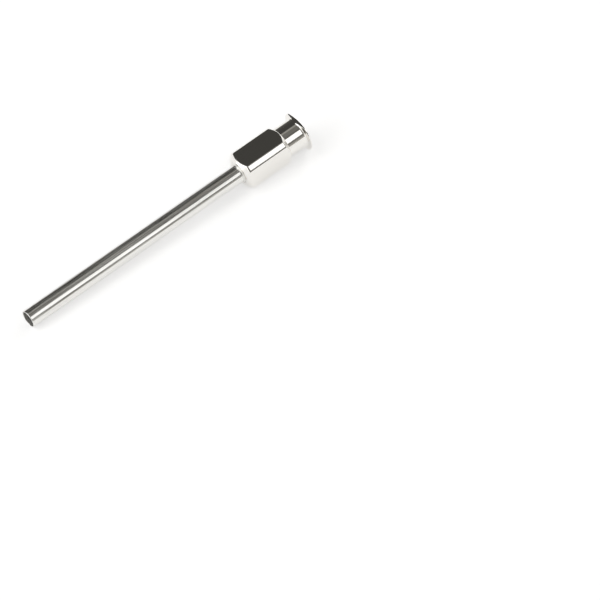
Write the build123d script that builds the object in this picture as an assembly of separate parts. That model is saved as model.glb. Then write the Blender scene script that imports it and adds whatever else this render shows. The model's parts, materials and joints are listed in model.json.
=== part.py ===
from build123d import *
import os
from math import asin, atan2, cos, degrees, hypot, radians, sin, tan

os.makedirs("parts", exist_ok=True)

# A blunt needle with a metal hub. It is drawn along X, from the tip at X = 0 to the socket's mouth,
# and is laid down at the end as it rests on a table. Millimetres and degrees.

# Cannula: 3.5 mm thin-wall tube, cut square, its rims rounded
cannula_diameter = 3.5
cannula_wall = 0.25
cannula_free_length = 48.5
cannula_rim_round = 0.1
cannula_setback = 0.2

# Solder: the gap that it fills in the hub's bore, and the ring where the tube enters
solder_gap = 0.04
solder_ring_leg = 0.35

# Hub body: square, with turned corners and a turned chamfer at each end
across_flats = 6.1
corner_diameter = 7.5
body_length = 9.86
front_face_diameter = 5.2
front_chamfer_angle = 55.0
rear_chamfer_angle = 45.0

# Neck and locking flange, whose two flats lie in the body's upper and lower faces
neck_diameter = 6.0
neck_length = 3.7
neck_root_radius = 0.35
flange_diameter = 7.8
flange_rim_thickness = 0.16
flange_flank_angle = 15.0
flange_face_diameter = 5.9
flange_bevel_angle = 15.0

# Socket for a 6 % conical lock fitting
socket_mouth_diameter = 4.3
socket_taper = 0.06
socket_depth = 9.0
socket_mouth_chamfer = 0.15

# Places along X that follow from the sizes
flank_length = (flange_diameter - neck_diameter) / 2 * tan(radians(flange_flank_angle))
bevel_length = (flange_diameter - flange_face_diameter) / 2 * tan(radians(flange_bevel_angle))
front_x = cannula_free_length
shoulder_x = front_x + body_length
neck_end_x = shoulder_x + neck_length
rim_start_x = neck_end_x + flank_length
rim_end_x = rim_start_x + flange_rim_thickness
mouth_x = rim_end_x + bevel_length
socket_floor_x = mouth_x - socket_depth
cannula_end_x = socket_floor_x - cannula_setback


def chamfer_length(small_diameter, large_diameter, angle):
    """Length along X of a turned chamfer between two diameters, at an angle from the axis."""
    return (large_diameter - small_diameter) / 2 / tan(radians(angle))


def turned(section):
    """Turn a section drawn in X and radius about the needle's axis."""
    return revolve(section, axis=Axis.X)


def hub_blank():
    """The hub as it leaves the lathe, before its flats are milled and its bores are made."""
    front_radius = front_face_diameter / 2
    corner_radius = corner_diameter / 2
    neck_radius = neck_diameter / 2
    rim_radius = flange_diameter / 2
    front_chamfer = chamfer_length(front_face_diameter, corner_diameter, front_chamfer_angle)
    rear_chamfer = chamfer_length(neck_diameter, corner_diameter, rear_chamfer_angle)
    outline = Polyline(
        (front_x, 0),
        (front_x, front_radius),
        (front_x + front_chamfer, corner_radius),
        (shoulder_x - rear_chamfer, corner_radius),
        (shoulder_x, neck_radius),
        (neck_end_x, neck_radius),
        (rim_start_x, rim_radius),
        (rim_end_x, rim_radius),
        (mouth_x, flange_face_diameter / 2),
        (mouth_x, 0),
        close=True,
    )
    section = make_face(outline)
    neck_root = section.vertices().sort_by_distance((neck_end_x, neck_radius))[0]
    # The root's rounding ends on the flank, so a low flange has a smaller one
    flank = hypot(flank_length, rim_radius - neck_radius)
    largest_root_radius = 0.9 * flank * tan(radians(90 + flange_flank_angle) / 2)
    return turned(fillet(neck_root, min(neck_root_radius, largest_root_radius)))


def socket_and_bore():
    """The space inside the hub: seat bore for the tube, taper socket and its chamfered mouth."""
    seat_radius = cannula_diameter / 2 + solder_gap
    mouth_radius = socket_mouth_diameter / 2
    floor_radius = (socket_mouth_diameter - socket_taper * socket_depth) / 2
    chamfer_floor_radius = mouth_radius - socket_mouth_chamfer * socket_taper / 2
    outline = Polyline(
        (front_x, 0),
        (front_x, seat_radius),
        (socket_floor_x, seat_radius),
        (socket_floor_x, floor_radius),
        (mouth_x - socket_mouth_chamfer, chamfer_floor_radius),
        (mouth_x, mouth_radius + socket_mouth_chamfer),
        (mouth_x, 0),
        close=True,
    )
    return turned(make_face(outline))


def milled_away(start_x, end_x, turn):
    """The stock outside two opposite flats, between two places along X."""
    reach = max(corner_diameter, flange_diameter)
    depth = reach - across_flats / 2
    cutter = Pos((start_x + end_x) / 2, 0, across_flats / 2 + depth / 2) * Box(end_x - start_x, 2 * reach, depth)
    return [Rot(turn + half_turn, 0, 0) * cutter for half_turn in (0, 180)]


def hub():
    """Nickel-plated brass hub: all four flats on the body, only the upper and lower two on the flange."""
    piece = hub_blank() - socket_and_bore()
    upper_and_lower = milled_away(front_x, mouth_x, 0)
    sides = milled_away(front_x, shoulder_x, 90)
    for cutter in upper_and_lower + sides:
        piece -= cutter
    return piece


def cannula():
    """Stainless steel tube with both rims rounded."""
    mean_radius = (cannula_diameter - cannula_wall) / 2
    wall = Pos(cannula_end_x / 2, mean_radius) * Rectangle(cannula_end_x, cannula_wall)
    return turned(fillet(wall.vertices(), cannula_rim_round))


def solder_fillet():
    """Hollow-faced ring round the tube at the hub's face, and the sleeve that fills the gap behind it."""
    tube_radius = cannula_diameter / 2
    ring_radius = tube_radius + solder_ring_leg
    ring_x = front_x - solder_ring_leg
    sag = solder_ring_leg * cos(radians(45))
    outline = [
        ThreePointArc((ring_x, tube_radius), (ring_x + sag, ring_radius - sag), (front_x, ring_radius)),
        Polyline(
            (front_x, ring_radius),
            (front_x, tube_radius + solder_gap),
            (cannula_end_x, tube_radius + solder_gap),
            (cannula_end_x, tube_radius),
            (ring_x, tube_radius),
        ),
    ]
    return turned(make_face(outline))


def resting_tilt():
    """Angle that brings the tip's rim and the near edge of the body's lower flat onto one level."""
    edge_x = front_x + chamfer_length(front_face_diameter, across_flats, front_chamfer_angle)
    rim_x = cannula_rim_round
    rim_radius = cannula_diameter / 2 - cannula_rim_round
    drop = across_flats / 2 - rim_radius
    run = edge_x - rim_x
    return degrees(atan2(drop, run) - asin(cannula_rim_round / hypot(drop, run)))


pieces = {"hub": hub(), "cannula": cannula(), "solder_fillet": solder_fillet()}

# Lay the needle down, then put the origin at the middle of its footprint
tilted = {name: Rot(0, -resting_tilt(), 0) * piece for name, piece in pieces.items()}
box = Compound(list(tilted.values())).bounding_box()
to_origin = Pos(-box.center().X, -box.center().Y, -box.min.Z)

for name, piece in tilted.items():
    export_step(to_origin * piece, f"parts/{name}.step")
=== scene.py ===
import json
import math

import bpy
import numpy as np
from mathutils import Matrix, Vector


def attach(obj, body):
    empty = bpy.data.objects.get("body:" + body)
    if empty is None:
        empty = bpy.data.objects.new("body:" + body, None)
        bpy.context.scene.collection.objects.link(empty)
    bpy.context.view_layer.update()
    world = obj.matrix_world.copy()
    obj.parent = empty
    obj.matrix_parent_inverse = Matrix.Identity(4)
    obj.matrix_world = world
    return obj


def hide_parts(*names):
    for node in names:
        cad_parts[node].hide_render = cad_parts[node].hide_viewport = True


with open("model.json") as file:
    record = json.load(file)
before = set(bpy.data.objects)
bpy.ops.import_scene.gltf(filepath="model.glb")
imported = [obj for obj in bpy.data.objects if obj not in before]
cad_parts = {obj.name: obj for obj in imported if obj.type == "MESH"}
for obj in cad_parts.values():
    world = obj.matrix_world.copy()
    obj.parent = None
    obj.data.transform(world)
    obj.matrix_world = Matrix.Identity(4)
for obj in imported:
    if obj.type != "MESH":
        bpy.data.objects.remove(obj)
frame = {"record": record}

# A blunt needle with a nickel-plated brass hub, lying on a white table.
# Sizes are in millimetres in the dictionaries and become metres when a mesh is made.

scene = bpy.context.scene
scene.view_settings.view_transform = "Standard"
millimetre = 0.001


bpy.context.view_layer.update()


# Shapes

def steppedLine(start, end, spacing, endGap=0.02):
    # Points from start up to end, evenly spaced, with one close to each end so that
    # the shading of a rounded corner doesn't run along the straight.
    start, end = np.array(start, float), np.array(end, float)
    length = float(np.linalg.norm(end - start))
    count = max(2, int(math.ceil(length / spacing)))
    near = min(endGap, length / 6)
    places = np.concatenate(([near], np.linspace(0, length, count + 1)[1:-1], [length - near]))
    places = np.unique(np.round(places, 6))
    return start + (end - start) * (places / length)[:, None]


def roundedOutline(corners, arcSteps):
    # A closed outline in (x, radius). Each corner is (x, radius, rounding, spacing of the
    # straight that follows); its rounding is an arc tangent to both of its straights.
    count = len(corners)
    points = [np.array(c[:2], float) for c in corners]
    arcs = []
    for i, here in enumerate(points):
        before, after = points[i - 1], points[(i + 1) % count]
        toBefore = (before - here) / np.linalg.norm(before - here)
        toAfter = (after - here) / np.linalg.norm(after - here)
        opening = math.acos(float(np.clip(toBefore @ toAfter, -1, 1)))
        reach = corners[i][2] / math.tan(opening / 2)
        middle = toBefore + toAfter
        centre = here + middle / np.linalg.norm(middle) * corners[i][2] / math.sin(opening / 2)
        first, last = here + toBefore * reach - centre, here + toAfter * reach - centre
        turn = math.pi - opening
        share = np.linspace(0, 1, arcSteps + 1)[:, None]
        arcs.append(
            centre + (np.sin((1 - share) * turn) * first + np.sin(share * turn) * last) / math.sin(turn)
        )
    pieces = []
    for i, arc in enumerate(arcs):
        following = arcs[(i + 1) % count]
        pieces += [arc, steppedLine(arc[-1], following[0], corners[i][3])]
    return np.concatenate(pieces)


def meshFromRing(name, outline, angles, clip=None):
    # The outline turned about the needle's axis: point (x, r) at angle a stands at
    # (x, r sin a, r cos a). clip(x, r, a) may lower the radius, as where a flat is milled.
    # Returns the piece and its points in the needle's frame, in millimetres.
    turn, x = np.meshgrid(angles, outline[:, 0])
    radius = np.repeat(outline[:, 1:2], len(angles), axis=1)
    if clip:
        radius = clip(x, radius, turn)
    local = np.stack((x, radius * np.sin(turn), radius * np.cos(turn)), axis=-1).reshape(-1, 3)
    rows, columns = len(outline), len(angles)
    first = np.arange(rows * columns).reshape(rows, columns)
    right, below = np.roll(first, -1, axis=1), np.roll(first, -1, axis=0)
    quads = np.stack((first, right, np.roll(right, -1, axis=0), below), axis=-1).reshape(-1, 4)
    toWorld = np.array(needleToWorld)
    world = local * millimetre @ toWorld[:3, :3].T + toWorld[:3, 3]
    # Each face's share of the enclosed volume tells which way the faces turn
    a, b, c, d = (world[quads[:, i]] for i in range(4))
    volume = np.einsum("ij,ij->i", a, np.cross(b, c) + np.cross(c, d)).sum() / 6
    if volume < 0:
        quads = quads[:, ::-1]
    mesh = bpy.data.meshes.new(name)
    mesh.vertices.add(len(world))
    mesh.vertices.foreach_set("co", world.astype(np.float32).ravel())
    mesh.loops.add(quads.size)
    mesh.loops.foreach_set("vertex_index", quads.astype(np.int32).ravel())
    mesh.polygons.add(len(quads))
    mesh.polygons.foreach_set("loop_start", np.arange(0, quads.size, 4, dtype=np.int32))
    mesh.polygons.foreach_set("use_smooth", np.ones(len(quads), bool))
    mesh.update()
    mesh.validate()
    piece = bpy.data.objects.new(name, mesh)
    scene.collection.objects.link(piece)
    print(name, len(quads), "quads,", round(abs(volume) * 1e9, 2), "mm3")
    return piece, local


def roundedLesser(a, b, width):
    # The lesser of two heights, less (width - |a - b|)^2 / (4 width) where they are close,
    # which rounds the corner between them.
    overlap = np.maximum(width - np.abs(a - b), 0)
    return np.minimum(a, b) - overlap * overlap / (4 * width)


def setShare(piece, name, share):
    # Stores a value for each point, which the materials read.
    values = share.astype(np.float32)
    piece.data.attributes.new(name, "FLOAT", "POINT").data.foreach_set("value", values)


def evenAngles(sides):
    return np.linspace(0, 2 * math.pi, sides, endpoint=False)


hubSizes = {
    "acrossFlats": 6.1,
    "cornerDiameter": 7.5,
    "bodyLength": 9.86,
    "frontFaceDiameter": 5.2,
    "frontChamferAngle": 55.0,
    "rearChamferAngle": 45.0,
    "neckDiameter": 6.0,
    "neckLength": 3.7,
    "neckRootRadius": 0.35,
    "flangeDiameter": 7.8,
    "flangeRimThickness": 0.16,
    "flangeFlankAngle": 15.0,
    "flangeFaceDiameter": 5.9,
    "flangeBevelAngle": 15.0,
    "socketMouthDiameter": 4.3,
    "socketTaper": 0.06,
    "socketDepth": 9.0,
    "socketMouthChamfer": 0.15,
    "frontCornerRound": 0.45,   # radii to which polishing and tumbling round the turned corners
    "rearCornerRound": 0.3,
    "shoulderRound": 0.06,
    "faceEdgeRound": 0.05,      # front face, flange's face and socket's floor
    "rimRound": 0.04,           # flange's rim, and where the mouth's chamfer ends
    "mouthRound": 0.03,
    "seatEdgeRound": 0.01,      # both ends of the bore that holds the tube
    "upperEdgeRound": 0.08,     # how far tumbling rounds the edges of the upper and lower flats
    "sideEdgeRound": 0.03,      # the side flats are milled last and keep crisper edges
    "flatTolerance": 0.004,     # a point this near to a flat's plane counts as milled
    "arcSteps": 5,
    "angleStep": 1.25,          # degrees between the mesh's columns
    "besideEdge": [0.35, 0.7, 1.1, 1.6, 2.2],   # finer columns on both sides of a milled edge
    # Between the mesh's rows, which are close together where a milled edge crosses a slope
    "rows": {
        "frontFace": 0.2,
        "chamfer": 0.028,
        "body": 1.0,
        "neck": 0.5,
        "slope": 0.045,
        "rim": 0.06,
        "flangeFace": 0.12,
        "narrowFace": 0.08,
        "socket": 0.6,
        "seat": 0.8,
    },
}
hubSizes["flankLength"] = (
    (hubSizes["flangeDiameter"] - hubSizes["neckDiameter"]) / 2
    * math.tan(math.radians(hubSizes["flangeFlankAngle"]))
)
hubSizes["bevelLength"] = (
    (hubSizes["flangeDiameter"] - hubSizes["flangeFaceDiameter"]) / 2
    * math.tan(math.radians(hubSizes["flangeBevelAngle"]))
)
hubSizes["length"] = (
    hubSizes["bodyLength"] + hubSizes["neckLength"] + hubSizes["flankLength"]
    + hubSizes["flangeRimThickness"] + hubSizes["bevelLength"]
)


def hubAngles(sizes):
    # Even steps, and finer ones beside the places where a milled edge runs along the hub:
    # the flats' edges on the body, seen from above and from the side, and on the flange's rim.
    flat = sizes["acrossFlats"] / 2
    bodyEdge = math.degrees(math.acos(flat / (sizes["cornerDiameter"] / 2)))
    rimEdge = math.degrees(math.acos(flat / (sizes["flangeDiameter"] / 2)))
    sideEdge = 90 - bodyEdge
    beside = np.array(sizes["besideEdge"])
    beside = np.concatenate((-beside[::-1], [0], beside))
    step = sizes["angleStep"]
    before, afterRim, afterSide, lastEven = 2.4, 3.0, 2.8, 89.5     # where the even steps stop and start
    quarter = np.concatenate((
        np.arange(0, bodyEdge - before, step),
        bodyEdge + beside,
        rimEdge + beside,
        np.arange(rimEdge + afterRim, sideEdge - before, step),
        sideEdge + beside,
        np.arange(sideEdge + afterSide, lastEven, step),
    ))
    quarter = np.radians(np.unique(np.round(quarter, 4)))
    half = np.concatenate((quarter, math.pi - quarter[quarter > 0], [math.pi / 2]))
    return np.unique(np.round(np.concatenate((half, half + math.pi)) % (2 * math.pi), 7))


def makeHub(sizes):
    # Turned from an outline of its outside and bores, then cut back to the flats' planes.
    rows = sizes["rows"]
    front = cannulaSizes["freeLength"]
    flat = sizes["acrossFlats"] / 2
    frontRadius = sizes["frontFaceDiameter"] / 2
    cornerRadius = sizes["cornerDiameter"] / 2
    neckRadius = sizes["neckDiameter"] / 2
    rimRadius = sizes["flangeDiameter"] / 2
    shoulder = front + sizes["bodyLength"]
    neckEnd = shoulder + sizes["neckLength"]
    rimStart = neckEnd + sizes["flankLength"]
    rimEnd = rimStart + sizes["flangeRimThickness"]
    seatRadius = cannulaSizes["diameter"] / 2 + solderSizes["gap"]
    mouthRadius = sizes["socketMouthDiameter"] / 2
    chamfer = sizes["socketMouthChamfer"]
    floorX = mouthX - sizes["socketDepth"]
    floorRadius = mouthRadius - sizes["socketTaper"] * sizes["socketDepth"] / 2
    chamferRadius = mouthRadius - sizes["socketTaper"] * chamfer / 2
    frontChamfer = (cornerRadius - frontRadius) / math.tan(math.radians(sizes["frontChamferAngle"]))
    rearChamfer = (cornerRadius - neckRadius) / math.tan(math.radians(sizes["rearChamferAngle"]))
    sideFlatsEnd = shoulder + 1
    corners = [
        (front, seatRadius, sizes["seatEdgeRound"], rows["frontFace"]),
        (front, frontRadius, sizes["faceEdgeRound"], rows["chamfer"]),
        (front + frontChamfer, cornerRadius, sizes["frontCornerRound"], rows["body"]),
        (shoulder - rearChamfer, cornerRadius, sizes["rearCornerRound"], rows["chamfer"]),
        (shoulder, neckRadius, sizes["shoulderRound"], rows["neck"]),
        (neckEnd, neckRadius, sizes["neckRootRadius"], rows["slope"]),
        (rimStart, rimRadius, sizes["rimRound"], rows["rim"]),
        (rimEnd, rimRadius, sizes["rimRound"], rows["slope"]),
        (mouthX, sizes["flangeFaceDiameter"] / 2, sizes["faceEdgeRound"], rows["flangeFace"]),
        (mouthX, mouthRadius + chamfer, sizes["mouthRound"], rows["narrowFace"]),
        (mouthX - chamfer, chamferRadius, sizes["rimRound"], rows["socket"]),
        (floorX, floorRadius, sizes["faceEdgeRound"], rows["narrowFace"]),
        (floorX, seatRadius, sizes["seatEdgeRound"], rows["seat"]),
    ]
    outline = roundedOutline(corners, sizes["arcSteps"])

    def milled(x, radius, turn):
        # A flat lies at radius flat / cos(angle from its middle), which has no end at 90 degrees,
        # so the cosine is kept above a tenth. The side flats stop on the neck, which they clear.
        upperAndLower = flat / np.maximum(np.abs(np.cos(turn)), 0.1)
        sides = flat / np.maximum(np.abs(np.sin(turn)), 0.1)
        cut = roundedLesser(radius, upperAndLower, sizes["upperEdgeRound"])
        return np.where(x < sideFlatsEnd, roundedLesser(cut, sides, sizes["sideEdgeRound"]), cut)

    piece, local = meshFromRing("needle_hub", outline, hubAngles(sizes), milled)
    x, side, top = local.T
    # 1 where the surface was milled flat, 0 where it was turned
    height = np.maximum(np.abs(side) * (x < sideFlatsEnd), np.abs(top))
    onFlat = np.abs(height - flat) < sizes["flatTolerance"]
    setShare(piece, "milled", onFlat)
    # 1 on the chamfer behind the flats, which keeps the marks of the turning tool
    alongChamfer = (x > shoulder - rearChamfer) & (x < shoulder + 0.01)
    setShare(piece, "toolMarked", alongChamfer & (np.hypot(side, top) > neckRadius) & ~onFlat)
    return piece


cannulaSizes = {
    "diameter": 3.5,
    "wall": 0.25,
    "freeLength": 48.5,
    "setback": 0.2,           # the tube stops this far short of the socket's floor
    "rimRound": 0.1,
    "wallSpacing": 0.8,
    "endSpacing": 0.1,
    "arcSteps": 8,
    "sides": 224,
}


def makeCannula(sizes):
    # Turned from the outline of its wall, a long rectangle with rounded corners.
    outer = sizes["diameter"] / 2
    inner = outer - sizes["wall"]
    rim = sizes["rimRound"]
    corners = [
        (0, outer, rim, sizes["wallSpacing"]),
        (cannulaEndX, outer, rim, sizes["endSpacing"]),
        (cannulaEndX, inner, rim, sizes["wallSpacing"]),
        (0, inner, rim, sizes["endSpacing"]),
    ]
    outline = roundedOutline(corners, sizes["arcSteps"])
    piece, local = meshFromRing("needle_cannula", outline, evenAngles(sizes["sides"]))
    # 1 on the wall of the bore, which drawing leaves duller than the polished outside
    setShare(piece, "bore", np.hypot(local[:, 1], local[:, 2]) < inner + 0.001)
    return piece


solderSizes = {
    "gap": 0.04,
    "ringLeg": 0.35,
    "faceSpacing": 0.1,
    "sleeveSpacing": 1.0,
    "arcSteps": 14,
    "sides": 160,
}


def makeSolder(sizes):
    # The ring's face is a quarter of a circle, hollow, from the tube to the hub's face: at sweep s
    # it stands at (face - leg + leg sin s, tube + leg - leg cos s).
    tube = cannulaSizes["diameter"] / 2
    seat = tube + sizes["gap"]
    face = cannulaSizes["freeLength"]
    leg = sizes["ringLeg"]
    sweep = np.linspace(0, math.pi / 2, sizes["arcSteps"] + 1)
    hollow = np.stack((face - leg + leg * np.sin(sweep), tube + leg - leg * np.cos(sweep)), axis=-1)
    outline = np.concatenate((
        hollow,
        steppedLine((face, tube + leg), (face, seat), sizes["faceSpacing"]),
        [(face, seat)],
        steppedLine((face, seat), (cannulaEndX, seat), sizes["sleeveSpacing"]),
        [(cannulaEndX, seat), (cannulaEndX, tube)],
        steppedLine((cannulaEndX, tube), (face - leg, tube), sizes["sleeveSpacing"]),
    ))
    return meshFromRing("needle_solder", outline, evenAngles(sizes["sides"]))[0]


# The needle's own frame: X along the tube from the tip, Z square to the hub's upper flat

socketMount = next(m for m in frame["record"]["mounts"] if m["name"] == "lock_socket")
needleAxis = Vector(socketMount["axis"]).normalized()
needleSide = Vector((0, 1, 0))
needleTop = needleAxis.cross(needleSide)
mouthX = cannulaSizes["freeLength"] + hubSizes["length"]
cannulaEndX = mouthX - hubSizes["socketDepth"] - cannulaSizes["setback"]
tipPoint = Vector(socketMount["pos_m"]) - needleAxis * mouthX * millimetre
needleToWorld = Matrix.Translation(tipPoint) @ Matrix(
    (needleAxis, needleSide, needleTop)
).transposed().to_4x4()

hub = makeHub(hubSizes)
cannula = makeCannula(cannulaSizes)
solder = makeSolder(solderSizes)
print("shapes made")


# Camera

cameraSizes = {
    "lens": 650.0,                     # long, because the tube is as wide at both ends
    "sensor": 36.0,
    "picture": 600,                    # pixels across the square picture
    "tipPixel": (27.53, 318.96),       # middle of the tube's open tip, the first pixel being 0
    "mouthPixel": (299.51, 130.28),    # middle of the socket's face
    "awayFromAxis": -0.3007,           # direction of the camera in the needle's frame
    "awayFromSide": -0.5633,
    "awayFromTop": 0.7696,
}


def makeCamera(sizes):
    # The roll and the distance put both ends of the needle's axis on their pixels. The distance
    # is found by repeating, because the far end looks smaller by an amount that depends on it.
    back = (
        needleAxis * sizes["awayFromAxis"] + needleSide * sizes["awayFromSide"]
        + needleTop * sizes["awayFromTop"]
    ).normalized()
    levelRight = Vector((0, 0, 1)).cross(back).normalized()
    levelUp = back.cross(levelRight)
    focal = sizes["picture"] * sizes["lens"] / sizes["sensor"]
    length = mouthX * millimetre
    half = (sizes["picture"] - 1) / 2
    tipOffset = Vector((sizes["tipPixel"][0] - half, half - sizes["tipPixel"][1]))
    mouthOffset = Vector((sizes["mouthPixel"][0] - half, half - sizes["mouthPixel"][1]))
    across = Vector((needleAxis.dot(levelRight), needleAxis.dot(levelUp)))
    recession = -length * needleAxis.dot(back)
    distance = 2.0
    for step in range(6):
        seen = mouthOffset * (1 + recession / distance) - tipOffset
        distance = focal * length * across.length / seen.length
    roll = math.atan2(across.y, across.x) - math.atan2(seen.y, seen.x)
    right = levelRight * math.cos(roll) + levelUp * math.sin(roll)
    up = levelUp * math.cos(roll) - levelRight * math.sin(roll)
    place = tipPoint + back * distance
    place -= (right * tipOffset.x + up * tipOffset.y) * distance / focal
    data = bpy.data.cameras.new("camera")
    data.lens = sizes["lens"]
    data.sensor_width = sizes["sensor"]
    data.clip_start = 0.01
    data.clip_end = 20.0
    camera = bpy.data.objects.new("camera", data)
    scene.collection.objects.link(camera)
    camera.matrix_world = Matrix.Translation(place) @ Matrix((right, up, back)).transposed().to_4x4()
    scene.camera = camera
    print("camera distance", round(distance, 4), "roll", round(math.degrees(roll), 2))


makeCamera(cameraSizes)


# Materials

def linearColour(text):
    # sRGB hex to the linear values that a shader takes
    values = np.array([int(text[i:i + 2], 16) for i in (1, 3, 5)]) / 255
    linear = np.where(values <= 0.04045, values / 12.92, ((values + 0.055) / 1.055) ** 2.4)
    return (*map(float, linear), 1.0)


def addNode(tree, kind, settings=None, inputs=None):
    # Adds a node, sets its properties, then sets or links its inputs.
    node = tree.nodes.new(kind)
    for name, value in (settings or {}).items():
        setattr(node, name, value)
    for name, value in (inputs or {}).items():
        if isinstance(value, bpy.types.NodeSocket):
            tree.links.new(value, node.inputs[name])
        else:
            node.inputs[name].default_value = value
    return node


def newMaterial(name):
    material = bpy.data.materials.new(name)
    material.use_nodes = True
    material.node_tree.nodes.clear()
    return material, material.node_tree


def needlePattern(tree, sizes):
    # Object coordinates turned to the needle's own frame, measured from the tip, and divided
    # by a size in millimetres along each of its axes.
    place = addNode(tree, "ShaderNodeTexCoord")
    return addNode(tree, "ShaderNodeMapping", {"vector_type": "TEXTURE"}, {
        "Vector": place.outputs["Object"],
        "Location": tipPoint,
        "Rotation": needleToWorld.to_euler(),
        "Scale": [size * millimetre for size in sizes],
    }).outputs["Vector"]


nickel = {
    "colour": "#ebe9e5",
    "roughness": (0.07, 0.12),
    "toolMarkRoughness": 0.4,           # of the chamfer behind the flats
    "ringSizes": (0.09, 60.0, 60.0),    # turned marks; real ones are finer, drawn coarse enough to show
    "cutterSizes": (9.0, 0.11, 0.11),   # milled marks, drawn coarse as well
    "markHeight": 0.00012,
    "hazeSizes": (2.2, 2.2, 2.2),
}


def nickelPlate(look):
    # Bright electroplated nickel over turned and milled brass: a slightly warm mirror
    # with faint lathe rings, faint straight cutter lines on the flats and a little haze.
    material, tree = newMaterial("bright_nickel_plate_on_turned_brass")
    rings = addNode(tree, "ShaderNodeTexNoise", {}, {
        "Vector": needlePattern(tree, look["ringSizes"]), "Scale": 1.0, "Detail": 2.0,
    })
    cutterLines = addNode(tree, "ShaderNodeTexNoise", {}, {
        "Vector": needlePattern(tree, look["cutterSizes"]), "Scale": 1.0, "Detail": 2.0,
    })
    milledShare = addNode(tree, "ShaderNodeAttribute", {"attribute_name": "milled"})
    marks = addNode(tree, "ShaderNodeMix", {"data_type": "FLOAT"}, {
        "Factor": milledShare.outputs["Fac"],
        "A": rings.outputs["Fac"],
        "B": cutterLines.outputs["Fac"],
    })
    bump = addNode(tree, "ShaderNodeBump", {}, {
        "Strength": 1.0,
        "Distance": look["markHeight"] * millimetre,
        "Height": marks.outputs["Result"],
    })
    haze = addNode(tree, "ShaderNodeTexNoise", {}, {
        "Vector": needlePattern(tree, look["hazeSizes"]), "Scale": 1.0, "Detail": 4.0,
    })
    polished = addNode(tree, "ShaderNodeMapRange", {}, {
        "Value": haze.outputs["Fac"], "From Min": 0.3, "From Max": 0.7,
        "To Min": look["roughness"][0], "To Max": look["roughness"][1],
    })
    toolMarked = addNode(tree, "ShaderNodeAttribute", {"attribute_name": "toolMarked"})
    roughness = addNode(tree, "ShaderNodeMix", {"data_type": "FLOAT"}, {
        "Factor": toolMarked.outputs["Fac"],
        "A": polished.outputs["Result"],
        "B": look["toolMarkRoughness"],
    })
    shader = addNode(tree, "ShaderNodeBsdfPrincipled", {}, {
        "Base Color": linearColour(look["colour"]),
        "Metallic": 1.0,
        "Roughness": roughness.outputs["Result"],
        "Normal": bump.outputs["Normal"],
    })
    addNode(tree, "ShaderNodeOutputMaterial", {}, {"Surface": shader.outputs["BSDF"]})
    return material


steel = {
    "colour": "#e8e7e4",
    "roughness": (0.06, 0.1),
    "lineSizes": (16.0, 0.05, 0.05),    # lines along the tube from drawing; coarser than the real ones
    "lineHeight": 0.00012,
    "lineStart": 0.51,                  # noise value above which the surface is scratched
    "lineFull": 0.6,
    "scratchRoughness": 0.5,
    "boreRoughness": 0.36,
    "hazeSizes": (5.0, 1.0, 1.0),
}


def drawnSteel(look):
    # Drawn and polished 304 stainless steel: a grey mirror, a little soft, with very fine
    # straight lines along the tube that scatter some of what it reflects, and a duller bore.
    material, tree = newMaterial("drawn_stainless_steel")
    drawLines = addNode(tree, "ShaderNodeTexNoise", {}, {
        "Vector": needlePattern(tree, look["lineSizes"]), "Scale": 1.0, "Detail": 1.0,
    })
    bump = addNode(tree, "ShaderNodeBump", {}, {
        "Strength": 1.0,
        "Distance": look["lineHeight"] * millimetre,
        "Height": drawLines.outputs["Fac"],
    })
    haze = addNode(tree, "ShaderNodeTexNoise", {}, {
        "Vector": needlePattern(tree, look["hazeSizes"]), "Scale": 1.0, "Detail": 4.0,
    })
    polished = addNode(tree, "ShaderNodeMapRange", {}, {
        "Value": haze.outputs["Fac"], "From Min": 0.3, "From Max": 0.7,
        "To Min": look["roughness"][0], "To Max": look["roughness"][1],
    })
    scratched = addNode(tree, "ShaderNodeMapRange", {}, {
        "Value": drawLines.outputs["Fac"], "From Min": look["lineStart"], "From Max": look["lineFull"],
        "To Min": 0.0, "To Max": 1.0,
    })
    outside = addNode(tree, "ShaderNodeMix", {"data_type": "FLOAT"}, {
        "Factor": scratched.outputs["Result"],
        "A": polished.outputs["Result"],
        "B": look["scratchRoughness"],
    })
    inBore = addNode(tree, "ShaderNodeAttribute", {"attribute_name": "bore"})
    roughness = addNode(tree, "ShaderNodeMix", {"data_type": "FLOAT"}, {
        "Factor": inBore.outputs["Fac"],
        "A": outside.outputs["Result"],
        "B": look["boreRoughness"],
    })
    shader = addNode(tree, "ShaderNodeBsdfPrincipled", {}, {
        "Base Color": linearColour(look["colour"]),
        "Metallic": 1.0,
        "Roughness": roughness.outputs["Result"],
        "Normal": bump.outputs["Normal"],
    })
    addNode(tree, "ShaderNodeOutputMaterial", {}, {"Surface": shader.outputs["BSDF"]})
    return material


solderLook = {
    "colour": "#e2e1dd",
    "roughness": (0.22, 0.36),
    "grainSizes": (0.25, 0.25, 0.25),
    "grainHeight": 0.0004,
}


def flowedSolder(look):
    # Tin and silver solder that flowed and set: a soft white metal with a faint frosty grain.
    material, tree = newMaterial("flowed_tin_silver_solder")
    grain = addNode(tree, "ShaderNodeTexNoise", {}, {
        "Vector": needlePattern(tree, look["grainSizes"]), "Scale": 1.0, "Detail": 5.0,
    })
    bump = addNode(tree, "ShaderNodeBump", {}, {
        "Strength": 1.0,
        "Distance": look["grainHeight"] * millimetre,
        "Height": grain.outputs["Fac"],
    })
    roughness = addNode(tree, "ShaderNodeMapRange", {}, {
        "Value": grain.outputs["Fac"], "From Min": 0.3, "From Max": 0.7,
        "To Min": look["roughness"][0], "To Max": look["roughness"][1],
    })
    shader = addNode(tree, "ShaderNodeBsdfPrincipled", {}, {
        "Base Color": linearColour(look["colour"]),
        "Metallic": 1.0,
        "Roughness": roughness.outputs["Result"],
        "Normal": bump.outputs["Normal"],
    })
    addNode(tree, "ShaderNodeOutputMaterial", {}, {"Surface": shader.outputs["BSDF"]})
    return material


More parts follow.
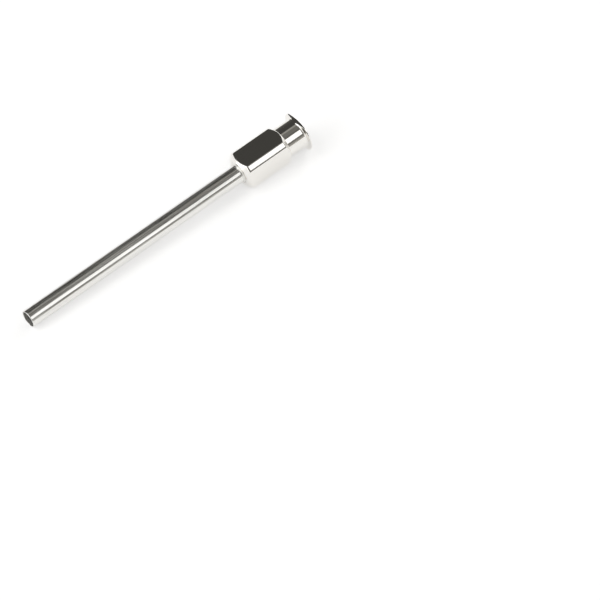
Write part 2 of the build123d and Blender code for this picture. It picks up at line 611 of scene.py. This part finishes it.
dressing = [
    (hub, "hub", "nickel_plated_brass", nickelPlate(nickel)),
    (cannula, "cannula", "stainless_tube", drawnSteel(steel)),
    (solder, "solder_fillet", "solder", flowedSolder(solderLook)),
]
for piece, node, slotName, material in dressing:
    piece.data.materials.append(material)
    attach(piece, "root")
    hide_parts(node)
print("materials made")


# Table, light and surroundings

table = {
    "halfWidth": 4.0,           # metres
    "colour": "#eeeeee",
    "glow": 0.55,               # added for the camera and for reflections, so that the table is white
}


def makeTable(look):
    half = look["halfWidth"]
    mesh = bpy.data.meshes.new("table")
    corners = [(-half, -half, 0), (half, -half, 0), (half, half, 0), (-half, half, 0)]
    mesh.from_pydata(corners, [], [(0, 1, 2, 3)])
    floor = bpy.data.objects.new("table", mesh)
    scene.collection.objects.link(floor)
    # Matt white paper, which takes the shadow. Only the camera and what is reflected or seen
    # through something meet its glow, so it lights nothing and leaves the shadow alone.
    material, tree = newMaterial("white_paper")
    rays = addNode(tree, "ShaderNodeLightPath")
    direct = addNode(tree, "ShaderNodeMath", {"operation": "ADD"}, {
        0: rays.outputs["Is Camera Ray"], 1: rays.outputs["Is Glossy Ray"],
    })
    seen = addNode(tree, "ShaderNodeMath", {"operation": "ADD", "use_clamp": True}, {
        0: direct.outputs[0], 1: rays.outputs["Is Transmission Ray"],
    })
    straight = addNode(tree, "ShaderNodeMath", {"operation": "LESS_THAN"}, {
        0: rays.outputs["Diffuse Depth"], 1: 0.5,
    })
    share = addNode(tree, "ShaderNodeMath", {"operation": "MULTIPLY"}, {
        0: seen.outputs[0], 1: straight.outputs[0],
    })
    strength = addNode(tree, "ShaderNodeMath", {"operation": "MULTIPLY"}, {
        0: share.outputs[0], 1: look["glow"],
    })
    paper = addNode(tree, "ShaderNodeBsdfDiffuse", {}, {"Color": linearColour(look["colour"])})
    glow = addNode(tree, "ShaderNodeEmission", {}, {
        "Color": (1, 1, 1, 1), "Strength": strength.outputs[0],
    })
    both = addNode(tree, "ShaderNodeAddShader", {}, {0: paper.outputs[0], 1: glow.outputs[0]})
    addNode(tree, "ShaderNodeOutputMaterial", {}, {"Surface": both.outputs[0]})
    mesh.materials.append(material)


# Lit panels, in metres. Brightness is radiance: a reflected panel of 1 is just white.
softboxes = [
    {
        "name": "front_softbox", "place": (0.19, -0.4334, 0.4149), "target": (0.19, 0, 0),
        "width": 0.42, "height": 0.352, "brightness": 1.25,
    },
    {
        "name": "left_softbox", "place": (-0.6, 0.16, 0.26), "target": (0, 0.16, 0.26),
        "width": 0.8, "height": 0.52, "brightness": 1.4,
    },
    {
        "name": "right_softbox", "place": (0.6, 0.16, 0.26), "target": (0, 0.16, 0.26),
        "width": 0.8, "height": 0.52, "brightness": 1.4,
    },
    {
        "name": "overhead_softbox", "place": (-0.31, 0.24, 0.57), "target": (0, 0, 0),
        "width": 0.5, "height": 0.5, "brightness": 1.4,
    },
]


def makeSoftbox(box):
    # It faces its target with its width level. Its power is brightness times pi times its area.
    data = bpy.data.lights.new(box["name"], "AREA")
    data.shape = "RECTANGLE"
    data.size = box["width"]
    data.size_y = box["height"]
    data.energy = box["brightness"] * math.pi * box["width"] * box["height"]
    lamp = bpy.data.objects.new(box["name"], data)
    lamp.visible_camera = False
    scene.collection.objects.link(lamp)
    place = Vector(box["place"])
    out = (place - Vector(box["target"])).normalized()
    side = Vector((0, 0, 1)).cross(out).normalized()
    turn = Matrix((side, out.cross(side), out)).transposed().to_4x4()
    lamp.matrix_world = Matrix.Translation(place) @ turn


# The room's brightness at angles about the X axis, in degrees from straight up. Positive ones
# are towards the camera's side, and those past 90 are below the horizon, where the table is white.
room = {
    "colour": "#fffcf3",
    "below": [(-180, 1.0), (-92, 1.0)],
    "backWall": [(-87, 0.12), (-60, 0.06), (-23, 0.055)],
    "ceiling": [(-17, 0.34), (-12, 0.34), (-6, 0.17), (15, 0.17), (20, 0.13), (62, 0.13)],
    "frontWall": [(71, 0.16), (79, 0.3), (88, 0.42)],
    "belowFront": [(92, 1.0), (180, 1.0)],
}


def makeSurroundings(look):
    stops = look["below"] + look["backWall"] + look["ceiling"] + look["frontWall"] + look["belowFront"]
    tint = linearColour(look["colour"])
    world = bpy.data.worlds.new("room")
    world.use_nodes = True
    scene.world = world
    tree = world.node_tree
    tree.nodes.clear()
    direction = addNode(tree, "ShaderNodeTexCoord")
    parts = addNode(tree, "ShaderNodeSeparateXYZ", {}, {"Vector": direction.outputs["Generated"]})
    towardsCamera = addNode(tree, "ShaderNodeMath", {"operation": "MULTIPLY"}, {
        0: parts.outputs["Y"], 1: -1.0,
    })
    angle = addNode(tree, "ShaderNodeMath", {"operation": "ARCTAN2"}, {
        0: towardsCamera.outputs[0], 1: parts.outputs["Z"],
    })
    share = addNode(tree, "ShaderNodeMapRange", {}, {
        "Value": angle.outputs[0], "From Min": -math.pi, "From Max": math.pi, "To Min": 0.0, "To Max": 1.0,
    })
    ramp = addNode(tree, "ShaderNodeValToRGB", {}, {"Fac": share.outputs["Result"]})
    elements = ramp.color_ramp.elements
    while len(elements) > 1:
        elements.remove(elements[-1])
    for i, (degrees, brightness) in enumerate(stops):
        place = degrees / 360 + 0.5
        element = elements.new(place) if i else elements[0]
        element.position = place
        element.color = [brightness * part for part in tint[:3]] + [1]
    walls = addNode(tree, "ShaderNodeBackground", {}, {"Color": ramp.outputs["Color"], "Strength": 1.0})
    addNode(tree, "ShaderNodeOutputWorld", {}, {"Surface": walls.outputs[0]})


makeTable(table)
for box in softboxes:
    makeSoftbox(box)
makeSurroundings(room)
print("stage made")
